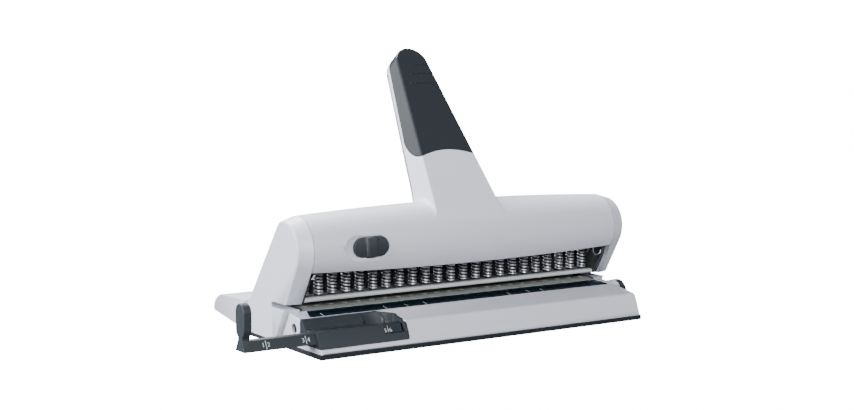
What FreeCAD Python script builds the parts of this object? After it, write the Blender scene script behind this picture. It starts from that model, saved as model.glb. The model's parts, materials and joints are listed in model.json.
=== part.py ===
"""Manual 23-hole desk punch with a long lever.

Frame: millimetres, +X to the right along the punch row, -Y towards the user and the paper
side, +Y to the rear, +Z up.  X = 0 is the middle of the row, Y = 0 the plane of the punches
and Z = 0 the table that the punch stands on.

The barrel and its lever turn about the main shaft, away from the user.  Involute cams on the
shaft push the press bar straight down, which drives all the pins through the paper.
"""
import FreeCAD, Part
import math
import os

from FreeCAD import Vector

# ---------------------------------------------------------------- driving dimensions (mm)
# Punch row
HOLE_COUNT = 23
HOLE_PITCH = 12.0
PIN_D = 5.5
PIN_HEAD_D = 7.4
PIN_HEAD_H = 2.0
SPRING_OD = 8.0
SPRING_WIRE = 1.15
ROW_END_MARGIN = 5.2       # last pin's centre to the side plate
GRIND_R = 4.2              # hollow grind across each pin's tip

# Shaft, cams and stroke
AXIS_BACK = 7.5            # the shaft lies this far in front of the punch row
AXIS_Z = 74.0
LEVER_SWING = 50.0         # degrees, from rest to pressed
LEVER_LEAN = 36.2          # degrees back from upright at rest
SHAFT_D = 12.0
SHAFT_END = 3.4            # shaft end beyond the side plate
BUSH_OD = 16.0
CAM_REST_DROP = 10.2       # shaft axis to the cam's lowest point at rest
CAM_HUB_R = 9.2
CAM_W = 8.0
CAM_GAP = 0.15
CAM_PLACES = (-114.0, -42.0, 42.0, 114.0)

# Paper slot and tools
TABLE_Z = 27.2             # seat of the die plate
DIE_T = 1.8
DIE_FRONT_Y = -8.1
DIE_LEAD = 3.8             # sloping front of the die plate
DIE_REAR_Y = 6.6
SLOT_H = 4.4
SLOT_REAR_Y = 13.0         # the paper slot's rounded end in the caps
GUIDE_T = 3.6
GUIDE_FRONT_Y = -4.4
RAIL_H = 3.2
RAIL_DEPTH = 3.9
PRESS_BAR_H = 6.4
PRESS_BAR_DEPTH = 8.4
TONGUE_REAR_Y = 0.8        # rear of the press bar's end tongues
STOP_Y = 8.0
STOP_T = 1.8
STOP_GAP = 0.8             # room in front of the stop and behind it

# Side plates and the frame between them
PLATE_T = 3.0
PLATE_SET = 3.0            # side plate's front edge behind the cap's
PLATE_REAR_Y = 46.0
TIE_ROD_R = 4.0
TIE_HEAD_R = 3.6
TIE_HEAD_H = 2.6
TIE_ROD_PLACES = ((21.0, 44.0), (32.0, 40.0))
BACK_PLATE_Y = 13.2
BACK_PLATE_T = 1.8
BACK_PLATE_TOP = 50.3

# Barrel
BARREL_END_R = 25.2
BARREL_MID_R = 29.3
BARREL_GAP = 0.2           # barrel end to the side plate's outer face
BARREL_WALL = 2.2
BARREL_FRONT_DEG = 128.0   # the barrel's lip below the front, from straight up
BARREL_REAR_DEG = 95.0
RIB_PLACES = (-121.0, -78.0, 78.0, 121.0)
RIB_T = 2.0

# Lever, measured along it from the shaft and forward from the shaft
LEVER_ROOT_HALF = 29.6
LEVER_ROOT_S = 19.7        # height on the lever where that half width is taken
LEVER_TAPER = 0.119        # half width lost per millimetre of height
LEVER_TOP_S = 160.7
LEVER_TOP_R = 14.6
LEVER_FRONT_N = 29.1
LEVER_EDGE_R = 1.5
LEVER_ROOT_R = 5.0         # hollow round between the lever's flanks and the barrel
LEVER_REAR_LINE = ((-3.0, 18.0), (0.2, 31.0), (2.1, 43.0), (4.6, 86.0), (9.3, 154.0), (10.0, 166.0))
LEVER_REAR_T = 2.2
LEVER_WALL = 2.4
REAR_COVER_FOOT_S = 33.0
GRIP_T = 2.0
GRIP_FOOT_S = 57.7
GRIP_ARCH = 4.5
GRIP_FLANK_S = 81.5        # where the grip's flank ends its curve
GRIP_FLANK_N = 9.4
GRIP_FLANK_GROWTH = 0.083
CORE_HALF = 9.0            # steel blade inside the lever
CORE_TOP_S = 128.0

# Lock in the barrel, measured from the shaft
LOCK_X = -96.7             # middle of the lock's well
LOCK_Z = 1.5
LOCK_WELL_HALF = 18.2
LOCK_WELL_R = 8.1
LOCK_BUTTON_LEFT = -107.8
LOCK_BUTTON_RIGHT = -78.9
LOCK_BUTTON_R = 7.4
LOCK_FLOOR_Y = -24.4
LOCK_ROD_Y = -18.5
LOCK_ROD_R = 2.0
LOCK_TRAVEL = 6.0

# Lever return springs on the shaft
RETURN_WIRE_R = 0.5
RETURN_COIL_R = 8.6
RETURN_COIL_X = 124.0
RETURN_COIL_W = 10.0
RETURN_LEG_DEG = 131.2     # the right leg's angle from straight up, towards the front
RETURN_HOOK_R = 3.9
RETURN_HOOK_DROP = 3.4
RETURN_STUB_DEG = 145.0    # the left leg's angle
RETURN_STUB = 2.6          # how far its end runs towards the side plate
RETURN_STUB_FALL = 3.1     # and down

# End caps
CAP_W = 12.0
CAP_DRAFT = 3.5            # how far the cap's outer outline lies inside its inner one
CAP_EDGE_R = 2.0
CAP_FRONT_LEAN = 31.2      # degrees, the cap's front edge from upright
CAP_REAR_SLOPE = 52.4      # degrees, the cap's rear edge from level
CAP_REAR_GAP = 22.5        # shaft axis to the cap's rear edge
CAP_KNEE_R = 14.0
CAP_BOTTOM_Z = 4.2
COVER_TOP_Z = 72.4         # rear cover's upper edge, close behind the barrel
COVER_BEND_Z = 64.5
COVER_GAP = 1.0

# Base, deck and tail
WALL = 2.5
MAT_T = 3.6
BASE_SET = 3.7             # base end inside the cap's outer face
BASE_FRONT_Y = -57.2
BASE_BELLY = (-54.2, 12.0) # the curved front passes through here
BASE_BROW = (-50.0, 20.6)  # and ends here
BASE_BROW_R = 2.5
BASE_END_R = 1.5
CREASE_Y = -48.0
CREASE_Z = 21.1
DECK_WALL_Y = 20.0         # wall behind the chip room
CHIP_ROOM_Y = -12.0        # front of the room below the punch row
STRIP_FRONT_Y = -22.0
STRIP_REAR_Y = -8.2
STRIP_LEFT = -138.0
STRIP_RIGHT = 143.0
STRIP_T = 1.0
FOOT_FRONT_Y = 58.0
FOOT_REAR_Y = 153.0
FOOT_TOP_Z = 27.4
FOOT_FALL = (112.0, 24.0)  # the tail's top falls gently to here
FOOT_NOSE = (136.0, 14.5)  # and its nose curves through here
FOOT_TUCK_LOW = 18.4       # narrower at the rear end, low down
FOOT_TUCK_HIGH = 8.1       # and high up
FOOT_CORNER = 3.0
PAD_R = 9.0
PAD_X = 100.0
PAD_Y = 121.0

# Format guide
BAR_REACH = 58.0           # the bar's paddle beyond the base's left end
BAR_Y = -43.7
BAR_Z = 10.8
BAR_H = 7.4
BAR_FOOT_HALF = 7.2
BAR_TOP_HALF = 3.2
BAR_END_GAP = 3.0
PADDLE_HALF = 6.7
PADDLE_T = 6.5
PADDLE_TOP = 34.2          # above the bar's underside
NECK_HALF = 3.4
HOLDER_W = 76.0
HOLDER_REAR_Y = -25.0
HOLDER_BOTTOM_Z = 7.4
HOLDER_WALL = 2.0
HOLDER_CORNER = 12.0
HOLDER_RIM = 0.5
LEDGE_Z = 19.8
LEDGE_Y = -48.0
TRAY_FLOOR_Z = 9.7
WINDOW_W = 16.0
HOLDER_RIBS = (48.0, 65.0) # from the base's left end
RIB_THIN = 1.6

# Margin setting
MARGIN_AXIS_Y = -17.5
MARGIN_AXIS_Z = 16.6
MARGIN_SHAFT_D = 5.0
MARGIN_THROW = 1.4         # offset of the eccentrics
MARGIN_CAM_R = 4.2
MARGIN_CAM_X = 66.0
MARGIN_CAM_W = 4.0
MARGIN_REST = 45.0         # degrees from upright at the smallest margin
SIGHT_R = 3.9
KNOB_R = 10.8
KNOB_W = 5.4
KNOB_BOSS = 4.0
KNOB_NOTCHES = 12
KNOB_NOTCH_R = 1.3

# Clearances
RUN = 0.05                 # radial, round shafts and pins
SEAT = 0.1                 # between pieces that are fixed to each other
FREE = 0.3                 # between pieces that move past each other

# ---------------------------------------------------------------- derived places
axis_y = -AXIS_BACK
row_half = (HOLE_COUNT - 1) * HOLE_PITCH / 2
hole_places = [i * HOLE_PITCH - row_half for i in range(HOLE_COUNT)]
swing = math.radians(LEVER_SWING)
stroke = AXIS_BACK * swing
die_top = TABLE_Z + DIE_T
slot_top = die_top + SLOT_H
guide_top = slot_top + GUIDE_T
press_top = AXIS_Z - CAM_REST_DROP - CAM_GAP
press_bottom = press_top - PRESS_BAR_H
head_bottom = press_bottom - PIN_HEAD_H
plate_inner = row_half + ROW_END_MARGIN
plate_outer = plate_inner + PLATE_T
inside_half = plate_inner - SEAT
barrel_half = plate_outer + BARREL_GAP
barrel_inner_r = BARREL_END_R - BARREL_WALL
cap_inner = barrel_half + FREE
cap_outer = cap_inner + CAP_W
base_half = cap_outer - BASE_SET
bar_left = -base_half - BAR_REACH
holder_right = HOLDER_W - base_half
bar_right = holder_right - BAR_END_GAP
knob_x = base_half + KNOB_BOSS + 2 * FREE
base_rear = STOP_Y - STOP_GAP
deck_front = STOP_Y + STOP_T + STOP_GAP + MARGIN_THROW * math.sqrt(2)
os.makedirs("parts", exist_ok=True)


# ---------------------------------------------------------------- helpers
def save(name, shape):
    """Write one node."""
    shape.exportStep("parts/" + name + ".step")


def group(shapes):
    """Separate solids in one node."""
    return Part.makeCompound(shapes)


def path(lift, start, steps):
    """Closed wire; a step of two numbers is a line, one of four an arc through a middle point."""
    edges = []
    here = start
    for step in steps:
        if len(step) == 2:
            edges.append(Part.makeLine(lift(*here), lift(*step)))
        else:
            edges.append(Part.Arc(lift(*here), lift(*step[:2]), lift(*step[2:])).toShape())
        here = step[-2:]
    if math.dist(here, start) > 1e-6:
        edges.append(Part.makeLine(lift(*here), lift(*start)))
    return Part.Wire(edges)


def side_prism(x0, x1, start, *steps):
    """Outline in the Y-Z plane, drawn out along X."""
    wire = path(lambda y, z: Vector(x0, y, z), start, steps)
    return Part.Face(wire).extrude(Vector(x1 - x0, 0, 0))


def plan_prism(z0, z1, start, *steps):
    """Outline in the X-Y plane, drawn out along Z."""
    wire = path(lambda x, y: Vector(x, y, z0), start, steps)
    return Part.Face(wire).extrude(Vector(0, 0, z1 - z0))


def front_prism(y0, y1, start, *steps):
    """Outline in the X-Z plane, drawn out along Y."""
    wire = path(lambda x, z: Vector(x, y0, z), start, steps)
    return Part.Face(wire).extrude(Vector(0, y1 - y0, 0))


def block(x0, x1, y0, y1, z0, z1):
    return Part.makeBox(x1 - x0, y1 - y0, z1 - z0, Vector(x0, y0, z0))


def rod(radius, x0, x1, y, z):
    """Cylinder along X."""
    return Part.makeCylinder(radius, x1 - x0, Vector(x0, y, z), Vector(1, 0, 0))


def pillar(radius, x, y, z0, z1):
    """Cylinder along Z."""
    return Part.makeCylinder(radius, z1 - z0, Vector(x, y, z0))


def mirrored(shape):
    """The same piece for the other end of the row."""
    return shape.mirror(Vector(0, 0, 0), Vector(1, 0, 0))


def joined(shapes):
    first, *others = shapes
    return first.fuse(others).removeSplitter()


def on_axis(shape):
    """Move a piece built round the X axis onto the main shaft."""
    return shape.translated(Vector(0, axis_y, AXIS_Z))


def leaned(shape):
    """Lean an upright lever piece back and set it on the main shaft."""
    turned = shape.copy()
    turned.rotate(Vector(0, 0, 0), Vector(1, 0, 0), -LEVER_LEAN)
    return on_axis(turned)


def rounded(shape, radius, chosen):
    """Fillet the edges for which chosen(edge) holds."""
    return shape.makeFillet(radius, [edge for edge in shape.Edges if chosen(edge)])


# ---------------------------------------------------------------- base and housing
def base_top_z(y):
    """Height of the sloping paper table in front of the die plate."""
    share = (y - CREASE_Y) / (-AXIS_BACK - CREASE_Y)
    return CREASE_Z + share * (TABLE_Z - CREASE_Z)


def cap_front_line(z, inset=0.0):
    """Front edge of an end cap below the barrel, leaning under it at the same slope."""
    lean = math.radians(CAP_FRONT_LEAN)
    touch_y = axis_y - (BARREL_END_R - inset) * math.cos(lean)
    touch_z = AXIS_Z - (BARREL_END_R - inset) * math.sin(lean)
    return touch_y + (touch_z - z) * math.tan(lean)


def base_outline(x0, x1):
    """Side outline of the front moulding: curved front and sloping paper table."""
    return side_prism(
        x0, x1, (BASE_FRONT_Y, MAT_T), BASE_BELLY + BASE_BROW, (-AXIS_BACK, TABLE_Z),
        (base_rear, TABLE_Z), (base_rear, MAT_T))


def cap_way(x0, x1, set_back=0.0):
    """Room for an end cap or a side plate in the base."""
    above, behind = TABLE_Z * 1.5, DECK_WALL_Y * 1.5
    shift = set_back - FREE
    return side_prism(
        x0, x1, (cap_front_line(above) + shift, above), (cap_front_line(0) + shift, 0),
        (behind, 0), (behind, above))


def base_shell():
    """Front moulding: sloping paper table, curved front, hollow below for the chips."""
    body = rounded(base_outline(-base_half, base_half), BASE_BROW_R,
                   lambda e: abs(e.CenterOfMass.x) < 1 and abs(e.CenterOfMass.y - BASE_BROW[0]) < 0.1)
    body = rounded(body, BASE_END_R, lambda e: abs(abs(e.CenterOfMass.x) - base_half) < 0.01
                   and e.CenterOfMass.z > MAT_T + 1 and e.CenterOfMass.y < 1 - AXIS_BACK)
    boss = rod(KNOB_R - FREE, base_half - WALL, base_half + KNOB_BOSS, MARGIN_AXIS_Y, MARGIN_AXIS_Z)
    underside = MAT_T - 1
    roof_front = (CREASE_Y + 0.4, base_top_z(CREASE_Y + 0.4) - WALL + FREE)
    roof_rear = (CHIP_ROOM_Y, base_top_z(CHIP_ROOM_Y) - WALL)
    left_front = HOLDER_REAR_Y + WALL + 2 * SEAT
    hollow_front = side_prism(
        holder_right + 4, base_half - WALL, (BASE_FRONT_Y + 2.8, underside), (-52.0, BAR_Z - FREE),
        (-49.4, 16.5), roof_front, roof_rear, (CHIP_ROOM_Y, underside))
    hollow_left = side_prism(
        WALL - base_half, holder_right + 5, (left_front, underside),
        (left_front, base_top_z(left_front) - WALL), roof_rear, (CHIP_ROOM_Y, underside))
    room_half = inside_half - WALL
    hollow_rear = block(-room_half, room_half, CHIP_ROOM_Y - 0.5, base_rear + 1,
                        underside, TABLE_Z - WALL)
    chip_half = row_half + PIN_D / 2 + 2 * FREE
    chip_slot = block(-chip_half, chip_half, -PIN_D, PIN_D, MAT_T, TABLE_Z + 1)
    shaft_bore = rod(MARGIN_SHAFT_D / 2 + RUN, -base_half - 1, base_half + KNOB_BOSS + 1,
                     MARGIN_AXIS_Y, MARGIN_AXIS_Z)
    sight_bore = rod(SIGHT_R, -base_half - 1, WALL - base_half + 1, MARGIN_AXIS_Y + 1.5, MARGIN_AXIS_Z)
    cap_rooms = [cap_way(plate_outer + SEAT, cap_outer + 1),
                 cap_way(inside_half, plate_outer + 2 * SEAT, PLATE_SET)]
    cuts = cap_rooms + [mirrored(room) for room in cap_rooms]
    cuts += [hollow_front, hollow_left, hollow_rear, chip_slot, scale_strip(SEAT), shaft_bore, sight_bore,
             holder_region(SEAT, BASE_FRONT_Y - 1),
             bar_outline(bar_right, holder_right + 6, FREE)]
    body = body.fuse(boss)
    for tool in cuts:
        body = body.cut(tool)
    return body


def scale_strip(grow=0.0):
    """Flat strip let into the paper table, with slanted ends; grow gives its bed."""
    front, rear = STRIP_FRONT_Y - grow, STRIP_REAR_Y + grow
    left, right = STRIP_LEFT - grow, STRIP_RIGHT + grow
    proud = 0.02
    sheet = side_prism(left, right, (front, base_top_z(front) - STRIP_T - grow),
                       (front, base_top_z(front) + proud), (rear, base_top_z(rear) + proud),
                       (rear, base_top_z(rear) - STRIP_T - grow))
    slant = 5.0
    ends = plan_prism(0, AXIS_Z, (left - 2, front - 2), (left + slant, rear + 3),
                      (right - slant, rear + 3), (right + 2, front - 2))
    return sheet.common(ends)


def holder_region(grow=0.0, front=BASE_FRONT_Y - 3.0):
    """Room of the format guide's holder: the base's front left corner above its lower edge."""
    right = holder_right + grow
    rear = HOLDER_REAR_Y + grow
    return plan_prism(HOLDER_BOTTOM_Z - grow, AXIS_Z, (-base_half - 1, front), (-base_half - 1, rear),
                      (right - HOLDER_CORNER, rear), (right, rear - 0.75 * HOLDER_CORNER), (right, front))


def guide_holder():
    """Tray with a front ledge, two ribs and a channel that the format bar slides through."""
    region = holder_region()
    flush = base_outline(-base_half, holder_right).common(region)
    mid_y = (LEDGE_Y + HOLDER_REAR_Y) / 2
    rim = side_prism(
        -base_half, holder_right, (mid_y, BAR_Z), (mid_y, base_top_z(mid_y) + HOLDER_RIM),
        (HOLDER_REAR_Y, base_top_z(HOLDER_REAR_Y) + HOLDER_RIM), (HOLDER_REAR_Y, BAR_Z)).common(region)
    over_ledge = block(-base_half - 1, holder_right + 1, BASE_FRONT_Y - 1, LEDGE_Y + HOLDER_WALL,
                       LEDGE_Z, AXIS_Z)
    right = holder_right - HOLDER_WALL
    lip_y = HOLDER_REAR_Y - 0.8 * HOLDER_WALL
    floor_y = BAR_Y + BAR_FOOT_HALF + HOLDER_WALL
    sloped = side_prism(
        -base_half - 1, right, (floor_y, TRAY_FLOOR_Z + 8), (lip_y, 26.0), (LEDGE_Y, 26.0),
        (LEDGE_Y, LEDGE_Z - 1.6), (floor_y, LEDGE_Z - 1.6))
    deep_left = HOLDER_RIBS[0] - base_half
    deep = side_prism(
        deep_left, right, (floor_y, TRAY_FLOOR_Z), (lip_y, 26.0), (LEDGE_Y, 26.0),
        (LEDGE_Y, LEDGE_Z - 2), (LEDGE_Y + HOLDER_WALL, TRAY_FLOOR_Z))
    inside = plan_prism(
        0, AXIS_Z, (-base_half - 1, BASE_FRONT_Y - 3), (-base_half - 1, HOLDER_REAR_Y),
        (right - HOLDER_CORNER, HOLDER_REAR_Y), (right, HOLDER_REAR_Y - 0.8 * HOLDER_CORNER),
        (right, BASE_FRONT_Y - 3))
    window = block(right - WINDOW_W - 2, right, BASE_FRONT_Y - 3, BAR_Y + 3, BAR_Z + 2.0, 30)
    neck_way = block(-base_half - 1, deep_left, BAR_Y - NECK_HALF - FREE, BAR_Y + NECK_HALF + FREE,
                     BAR_Z + 5, AXIS_Z)
    ribs = []
    for place in HOLDER_RIBS:
        x = place - base_half
        rib = side_prism(x, x + RIB_THIN, (floor_y - 1, TRAY_FLOOR_Z), (floor_y, LEDGE_Z + 0.6),
                         (lip_y - 2.0, 24.0), (lip_y + 1, 24.0), (lip_y + 1, TRAY_FLOOR_Z))
        ribs.append(rib.common(inside))
    body = joined([flush, rim]).cut(
        [over_ledge, sloped.common(inside), deep.common(inside), window, neck_way])
    body = joined([body] + ribs).cut(bar_outline(-base_half - 1, holder_right + 1, FREE))
    corner = [edge for edge in body.Edges if abs(edge.CenterOfMass.x - holder_right) < 0.01
              and edge.CenterOfMass.y < BAR_Y]
    return body.makeFillet(1.0, corner)


def bar_outline(x0, x1, grow=0.0):
    """Bar of trapezium section; grow gives the room around it."""
    top = BAR_Z + BAR_H + grow
    foot, head = BAR_FOOT_HALF + grow, BAR_TOP_HALF + grow
    return side_prism(x0, x1, (BAR_Y - foot, BAR_Z - grow), (BAR_Y - head, top),
                      (BAR_Y + head, top), (BAR_Y + foot, BAR_Z - grow))


def guide_bar():
    """Sliding bar with the upright paddle that the paper's edge meets."""
    y, z, half = BAR_Y, BAR_Z, PADDLE_HALF
    top = z + PADDLE_TOP
    shoulder = half - 0.6
    bar = bar_outline(bar_left, bar_right)
    paddle = side_prism(
        bar_left, bar_left + PADDLE_T, (y - NECK_HALF, z + 7.0), (y - NECK_HALF, z + 10.0),
        (y - shoulder, z + 12.6), (y - half, z + 16.0), (y - half, top - half),
        (y, top, y + half, top - half), (y + half, z + 16.0), (y + shoulder, z + 12.6),
        (y + NECK_HALF, z + 10.0), (y + NECK_HALF, z + 7.0))
    paddle = rounded(paddle, 1.2, lambda e: abs(e.CenterOfMass.x - bar_left - PADDLE_T) < 0.01
                     and e.CenterOfMass.z > z + 8)
    paddle = rounded(paddle, 0.8, lambda e: abs(e.CenterOfMass.x - bar_left) < 0.01
                     and e.CenterOfMass.z > z + 8)
    return joined([bar, paddle])


def base_mat():
    """Dark bottom cover; it closes the chip room and is pulled off to empty it."""
    half = base_half + 0.5
    body = block(-half, half, BASE_FRONT_Y - SEAT, FOOT_FRONT_Y + 4, 0, MAT_T)
    return rounded(body, 3.0, lambda e: abs(e.tangentAt(e.FirstParameter).z) > 0.9
                   and e.CenterOfMass.y > 0)


def cap_outline(x, inset=0.0):
    """Side outline of an end cap: round over the barrel, straight down the front and the rear."""
    radius = BARREL_END_R - inset
    gap = CAP_REAR_GAP - inset
    knee = CAP_KNEE_R - inset
    lean = math.radians(CAP_FRONT_LEAN)
    slope = math.radians(CAP_REAR_SLOPE)
    knee_deg = slope - math.acos((gap - knee) / (radius - knee))

    def place(size, angle, centre=(axis_y, AXIS_Z)):
        """Point at a distance from the centre, the angle taken from upright towards the rear."""
        return centre[0] + size * math.sin(angle), centre[1] + size * math.cos(angle)

    centre = place(radius - knee, knee_deg)
    start = (cap_front_line(CAP_BOTTOM_Z, inset), CAP_BOTTOM_Z)
    touch = place(radius, -(math.pi / 2 + lean))
    crown = place(radius, knee_deg)
    shoulder = place(knee, slope, centre)
    heel_z = shoulder[1] - (FOOT_FRONT_Y - shoulder[0]) * math.tan(slope)
    steps = [touch, place(radius, -math.pi / 4) + crown,
             place(knee, (knee_deg + slope) / 2, centre) + shoulder,
             (FOOT_FRONT_Y, heel_z), (FOOT_FRONT_Y, CAP_BOTTOM_Z)]
    return path(lambda y, z: Vector(x, y, z), start, steps)


def right_end_cap():
    """End cap, hollow above the paper slot and open towards the side plate."""
    body = Part.makeLoft([cap_outline(cap_inner), cap_outline(cap_outer, CAP_DRAFT)], True)
    body = rounded(body, CAP_EDGE_R, lambda e: abs(e.CenterOfMass.x - cap_outer) < 0.01
                   and CAP_BOTTOM_Z + 1 < e.CenterOfMass.z and e.CenterOfMass.y < FOOT_FRONT_Y - 1)
    room = Part.Face(cap_outline(cap_inner - 1, CAP_DRAFT + WALL))
    room = room.extrude(Vector(CAP_W - WALL + 1, 0, 0))
    room = room.common(block(cap_inner - 1, cap_outer, -AXIS_Z, AXIS_Z, slot_top + WALL, 2 * AXIS_Z))
    return body.cut([paper_slot(cap_inner - 1, cap_outer + 1), room])


def paper_slot(x0, x1):
    """The slot that the sheet's end may run out through, with a rounded rear end."""
    bottom = die_top - SEAT
    round_r = (slot_top - bottom) / 2
    front = 2 * cap_front_line(AXIS_Z / 2)
    return side_prism(
        x0, x1, (front, bottom), (SLOT_REAR_Y - round_r, bottom),
        (SLOT_REAR_Y, bottom + round_r, SLOT_REAR_Y - round_r, slot_top), (front, slot_top))


def foot_level(z, half_front, half_rear, rear):
    """Plan outline of the tail at one height, with rounded rear corners."""
    front = FOOT_FRONT_Y + SEAT
    tuck = FOOT_CORNER
    share = 0.3 * tuck
    edge = half_rear + share / 2
    return path(lambda x, y: Vector(x, y, z), (-half_front, front),
                [(-edge, rear - tuck), (share - half_rear, rear - share, tuck - half_rear, rear),
                 (half_rear - tuck, rear), (half_rear - share, rear - share, edge, rear - tuck),
                 (half_front, front)])


def rear_foot():
    """Long low tail that keeps the punch from tipping when the lever goes down."""
    bottom, top = CAP_BOTTOM_Z, FOOT_TOP_Z + 1
    front, rear = FOOT_FRONT_Y, FOOT_REAR_Y

    def hull(inset, low):
        """Tapering block between two plan outlines, all its sides moved in by inset."""
        half = cap_outer - inset
        return Part.makeLoft([foot_level(low, half - SEAT, half - FOOT_TUCK_LOW, rear - inset),
                              foot_level(top, half, half - FOOT_TUCK_HIGH, rear - inset)], True)

    def tail(inset):
        """Side outline: gently falling top and a long nose."""
        wide = cap_outer + 1
        nose = (FOOT_NOSE[0] - inset, FOOT_NOSE[1] - inset, rear - 2 * inset, bottom - 0.02)
        return side_prism(
            -wide, wide, (front - 1, bottom - 2), (front - 1, FOOT_TOP_Z - inset),
            (FOOT_FALL[0], FOOT_FALL[1] - inset), nose, (rear - 2 * inset, bottom - 2))
    outside = hull(0.0, bottom).common(tail(0.0))
    inside = hull(WALL + 0.5, bottom - 1).common(tail(WALL))
    inside = inside.cut(block(-cap_outer, cap_outer, 0, front + WALL, 0, 2 * top))
    bosses = [pillar(PAD_R + 1, x, PAD_Y, bottom, top).common(outside) for x in (-PAD_X, PAD_X)]
    return joined([outside.cut(inside)] + bosses)


def rear_deck():
    """Raised deck between the caps, behind the paper stop; its front roofs the chip room."""
    rear = FOOT_FRONT_Y
    level = BACK_PLATE_Y + BACK_PLATE_T + 1
    deck = side_prism(-inside_half, inside_half, (deck_front, MAT_T), (deck_front, TABLE_Z),
                      (level, TABLE_Z), (rear, FOOT_TOP_Z), (rear, MAT_T))
    half, roof = inside_half - WALL, TABLE_Z - WALL
    chips = block(-half, half, deck_front - 1, DECK_WALL_Y - WALL, MAT_T - 1, roof)
    room = block(-half, half, DECK_WALL_Y, rear - WALL, MAT_T - 1, roof)
    return deck.cut([chips, room])


def rubber_feet():
    """Soft pads under the tail."""
    return group([pillar(PAD_R, x, PAD_Y, 0, CAP_BOTTOM_Z) for x in (-PAD_X, PAD_X)])


def rear_cover():
    """Sloping sheet between the caps, from the deck up to the back of the barrel."""
    slope = math.radians(CAP_REAR_SLOPE)
    top_y = axis_y + BARREL_MID_R + COVER_GAP
    half = cap_inner - SEAT
    nose_y = axis_y + CAP_REAR_GAP * math.sin(slope)
    nose_z = AXIS_Z + CAP_REAR_GAP * math.cos(slope)
    low, bend = FOOT_TOP_Z + SEAT, COVER_BEND_Z

    def line(z, inset=0.0):
        return nose_y + (nose_z - z) / math.tan(slope) - inset / math.sin(slope)
    return side_prism(
        -half, half, (line(low), low), (line(bend), bend), (top_y + WALL, bend + 3),
        (top_y + WALL, COVER_TOP_Z), (top_y, COVER_TOP_Z), (top_y, bend + WALL),
        (line(bend - 1.2, WALL), bend - 1.2), (line(low, WALL), low))


# ---------------------------------------------------------------- frame and tools
def right_side_plate():
    """Steel plate: head round the shaft, neck through the barrel's gap, foot in the base."""
    x0, x1 = plate_inner, plate_outer
    head = rod(barrel_inner_r - 1.6, x0, x1, axis_y, AXIS_Z)
    bend_z = 50.0
    leg = side_prism(
        x0, x1, (-22.5, 61.0), (-21.5, 56.5), (cap_front_line(bend_z) + PLATE_SET, bend_z),
        (cap_front_line(CAP_BOTTOM_Z) + PLATE_SET, CAP_BOTTOM_Z), (PLATE_REAR_Y, CAP_BOTTOM_Z),
        (PLATE_REAR_Y, 34.0), (PLATE_REAR_Y - 12, 46.0), (7.5, bend_z), (3.8, 55.0), (3.0, 62.0))
    front, rear = -PRESS_BAR_DEPTH / 2 - FREE, TONGUE_REAR_Y + FREE
    guide = block(x0 - 1, x1 + 1, front, rear, press_bottom - stroke - FREE, press_top + FREE)
    bore = rod(BUSH_OD / 2 + SEAT / 2, x0 - 1, x1 + 1, axis_y, AXIS_Z)
    return joined([head, leg]).cut([guide, bore, paper_slot(x0 - 1, x1 + 1)])


def right_bush():
    """Flanged bronze bush in the side plate."""
    body = rod(BUSH_OD / 2, plate_inner, plate_outer, axis_y, AXIS_Z)
    flange = rod(BUSH_OD / 2 + 2, plate_outer, plate_outer + 4 * FREE, axis_y, AXIS_Z)
    return joined([body, flange]).cut(
        rod(SHAFT_D / 2 + RUN, plate_inner - 1, plate_outer + 2, axis_y, AXIS_Z))


def tie_rods():
    """Two rods that hold the side plates apart."""
    return group([rod(TIE_ROD_R, -plate_inner, plate_inner, y, z) for y, z in TIE_ROD_PLACES])


def tie_screws():
    """Screw heads outside the side plates, one at each rod end."""
    heads = [rod(TIE_HEAD_R, plate_outer, plate_outer + TIE_HEAD_H, y, z) for y, z in TIE_ROD_PLACES]
    return group(heads + [mirrored(head) for head in heads])


def back_plate():
    """Dark sheet behind the springs; its lower edge stands on the base."""
    return block(-inside_half, inside_half, BACK_PLATE_Y, BACK_PLATE_Y + BACK_PLATE_T,
                 TABLE_Z, BACK_PLATE_TOP)


def holes(radius, z0, z1):
    return [pillar(radius, x, 0, z0, z1) for x in hole_places]


def die_plate():
    """Hardened plate with the die holes and a sloping lead-in for the paper."""
    body = side_prism(
        -inside_half, inside_half, (DIE_FRONT_Y, TABLE_Z), (DIE_FRONT_Y, TABLE_Z + 0.5),
        (DIE_FRONT_Y + DIE_LEAD, die_top), (DIE_REAR_Y, die_top), (DIE_REAR_Y, TABLE_Z))
    return body.cut(holes(PIN_D / 2 + RUN, TABLE_Z - 1, die_top + 1))


def punch_guide():
    """Plate above the paper slot that guides the pins and strips the paper off them."""
    body = block(-inside_half, inside_half, GUIDE_FRONT_Y, BACK_PLATE_Y, slot_top, guide_top)
    return body.cut(holes(PIN_D / 2 + RUN, slot_top - 1, guide_top + 1))


def guide_rail():
    """Light rounded strip along the front edge of the punch guide."""
    y, low, high = GUIDE_FRONT_Y, slot_top, slot_top + RAIL_H
    flat = y - 0.6 * RAIL_DEPTH
    return side_prism(-inside_half, inside_half, (y, low), (flat, low),
                      (y - RAIL_DEPTH, (low + high) / 2, flat, high), (y, high))


def punch_springs():
    """Return springs round the pins, as plain sleeves of the coils' outer and inner size."""
    sleeves = []
    for x in hole_places:
        outer = pillar(SPRING_OD / 2, x, 0, guide_top, head_bottom)
        sleeves.append(outer.cut(pillar(SPRING_OD / 2 - SPRING_WIRE, x, 0, guide_top - 1, head_bottom + 1)))
    return group(sleeves)


def punch_pins():
    """Headed pins; the hollow-ground tip cuts progressively."""
    pins = []
    for x in hole_places:
        shank = pillar(PIN_D / 2, x, 0, slot_top, head_bottom)
        head = pillar(PIN_HEAD_D / 2, x, 0, head_bottom, press_bottom)
        grind = Part.makeCylinder(GRIND_R, 2 * PIN_D, Vector(x, -PIN_D, slot_top - GRIND_R + 0.8),
                                  Vector(0, 1, 0))
        pins.append(joined([shank, head]).cut(grind))
    return group(pins)


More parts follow.
